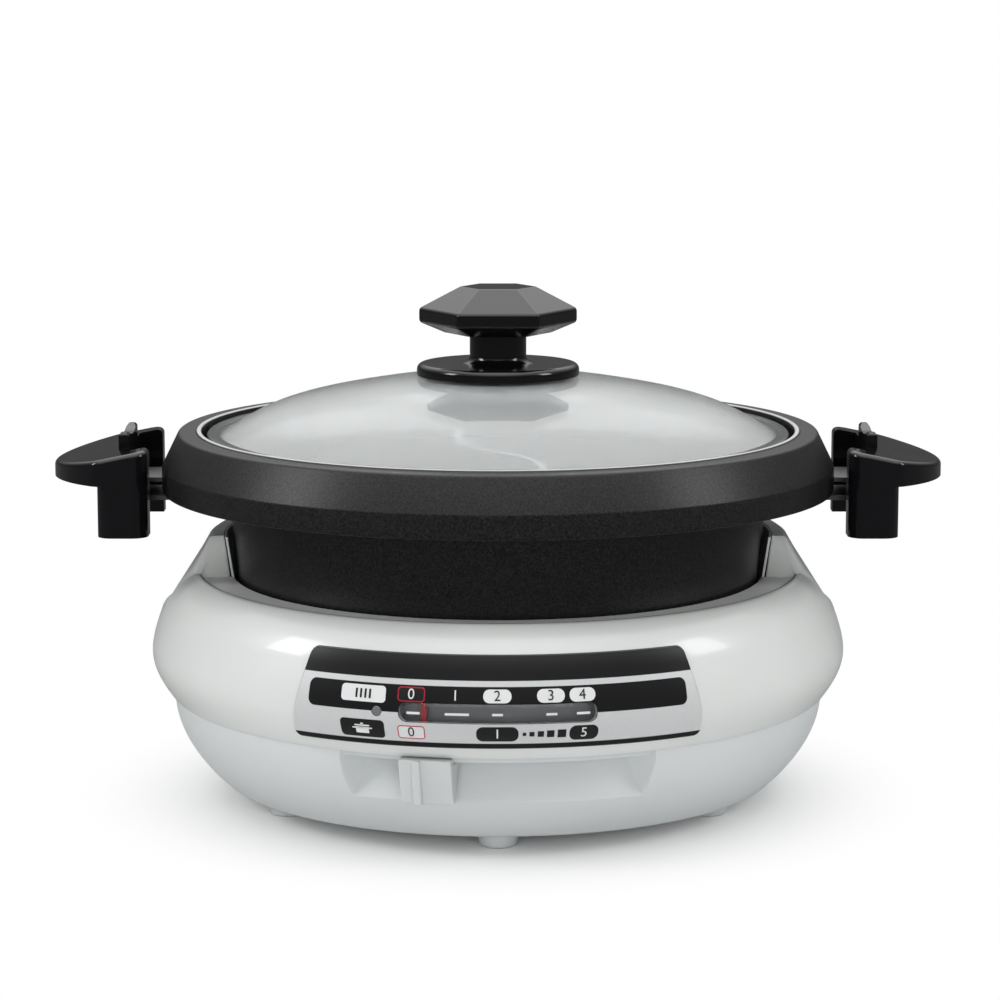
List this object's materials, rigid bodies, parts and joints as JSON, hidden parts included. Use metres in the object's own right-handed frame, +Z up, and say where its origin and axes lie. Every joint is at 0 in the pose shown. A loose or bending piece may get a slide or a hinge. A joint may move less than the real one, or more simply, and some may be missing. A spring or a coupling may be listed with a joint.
{
  "type": "electric skillet",
  "caption": "Electric skillet: round plastic base with heater, slide lever and thermostat, lift-out divided cast pan with side handles, lift-off domed glass lid.",
  "frame": {"origin": "on the table under the centre of the base, at the underside of the feet", "axes": "+Z up, the control panel faces -Y, +X to the right of the panel"},
  "size_m": [0.4024, 0.3165, 0.2306],
  "materials": {
    "white_shell": "glossy moulded plastic",
    "lever_plastic": "satin moulded plastic",
    "panel_print": "printed satin silver film with black bands",
    "window_clear": "clear acrylic",
    "scale_print": "black strip with pale ticks",
    "lamp_amber": "smoky lamp lens",
    "lamp_body": "moulded lamp holder",
    "liner_steel": "plated sheet, soft sheen",
    "dish_mirror": "bright reflector sheet",
    "heater_sheath": "dark heat-tinted steel tube",
    "electrics": "moulded phenolic",
    "contact_brass": "plated brass",
    "fuse_metal": "plain can",
    "wire_jacket": "heat-proof sleeve",
    "foot_rubber": "soft pale rubber",
    "screw_steel": "plated screws",
    "lever_steel": "zinc-plated strip",
    "pointer_red": "red plastic",
    "sensor_cap": "satin aluminium",
    "pan_coating": "textured black non-stick coating on cast aluminium",
    "bracket_steel": "plated sheet steel",
    "black_phenolic": "glossy black phenolic",
    "lid_glass": "clear tempered glass",
    "band_steel": "polished stainless band",
    "gasket": "silicone"
  },
  "bodies": {
    "base": {"upper_shell": "white_shell", "lower_shell": "white_shell", "front_panel": "panel_print", "window_lens": "window_clear", "scale_strip": "scale_print", "pilot_lamp": "lamp_body", "lamp_lens": "lamp_amber", "heat_liner": "liner_steel", "reflector_dish": "dish_mirror", "heater_element": "heater_sheath", "heater_clips": "dish_mirror", "pan_rests": "dish_mirror", "thermostat_body": "electrics", "thermal_fuse": "fuse_metal", "terminal_block": "electrics", "inlet_housing": "electrics", "inlet_pins": "contact_brass", "wiring": "wire_jacket", "feet": "foot_rubber", "case_screws": "screw_steel"},
    "lever": {"lever_knob": "lever_plastic", "lever_arm": "lever_steel", "pointer": "pointer_red", "thermostat_shaft": "lever_steel"},
    "sensor": {"sensor_plunger": "sensor_cap"},
    "pan": {"pan_body": "pan_coating", "pan_divider": "pan_coating", "handle_bracket_right": "bracket_steel", "handle_bracket_left": "bracket_steel", "handle_right": "black_phenolic", "handle_left": "black_phenolic", "bracket_screws": "screw_steel", "handle_screws": "screw_steel"},
    "lid": {"lid_glass": "lid_glass", "lid_rim_band": "band_steel", "knob_gasket": "gasket", "knob_base": "black_phenolic", "lid_knob": "black_phenolic", "knob_washer": "screw_steel", "knob_screw": "screw_steel"}
  },
  "joints": [
    {"name": "pan_lift", "type": "slide", "parent": "base", "child": "pan", "axis": [0, 0, 1], "range_m": [0, 0.037]},
    {"name": "lid_lift", "type": "slide", "parent": "pan", "child": "lid", "axis": [0, 0, 1], "range_m": [0, 0.035]},
    {"name": "temperature_lever", "type": "hinge", "parent": "base", "child": "lever", "pos_m": [0, 0, 0.0498], "axis": [0, 0, 1], "range_deg": [0, 25.2]},
    {"name": "sensor_press", "type": "slide", "parent": "base", "child": "sensor", "axis": [0, 0, 1], "range_m": [-0.0025, 0], "stiffness_N_per_m": 300, "springref_m": 0.003}
  ]
}
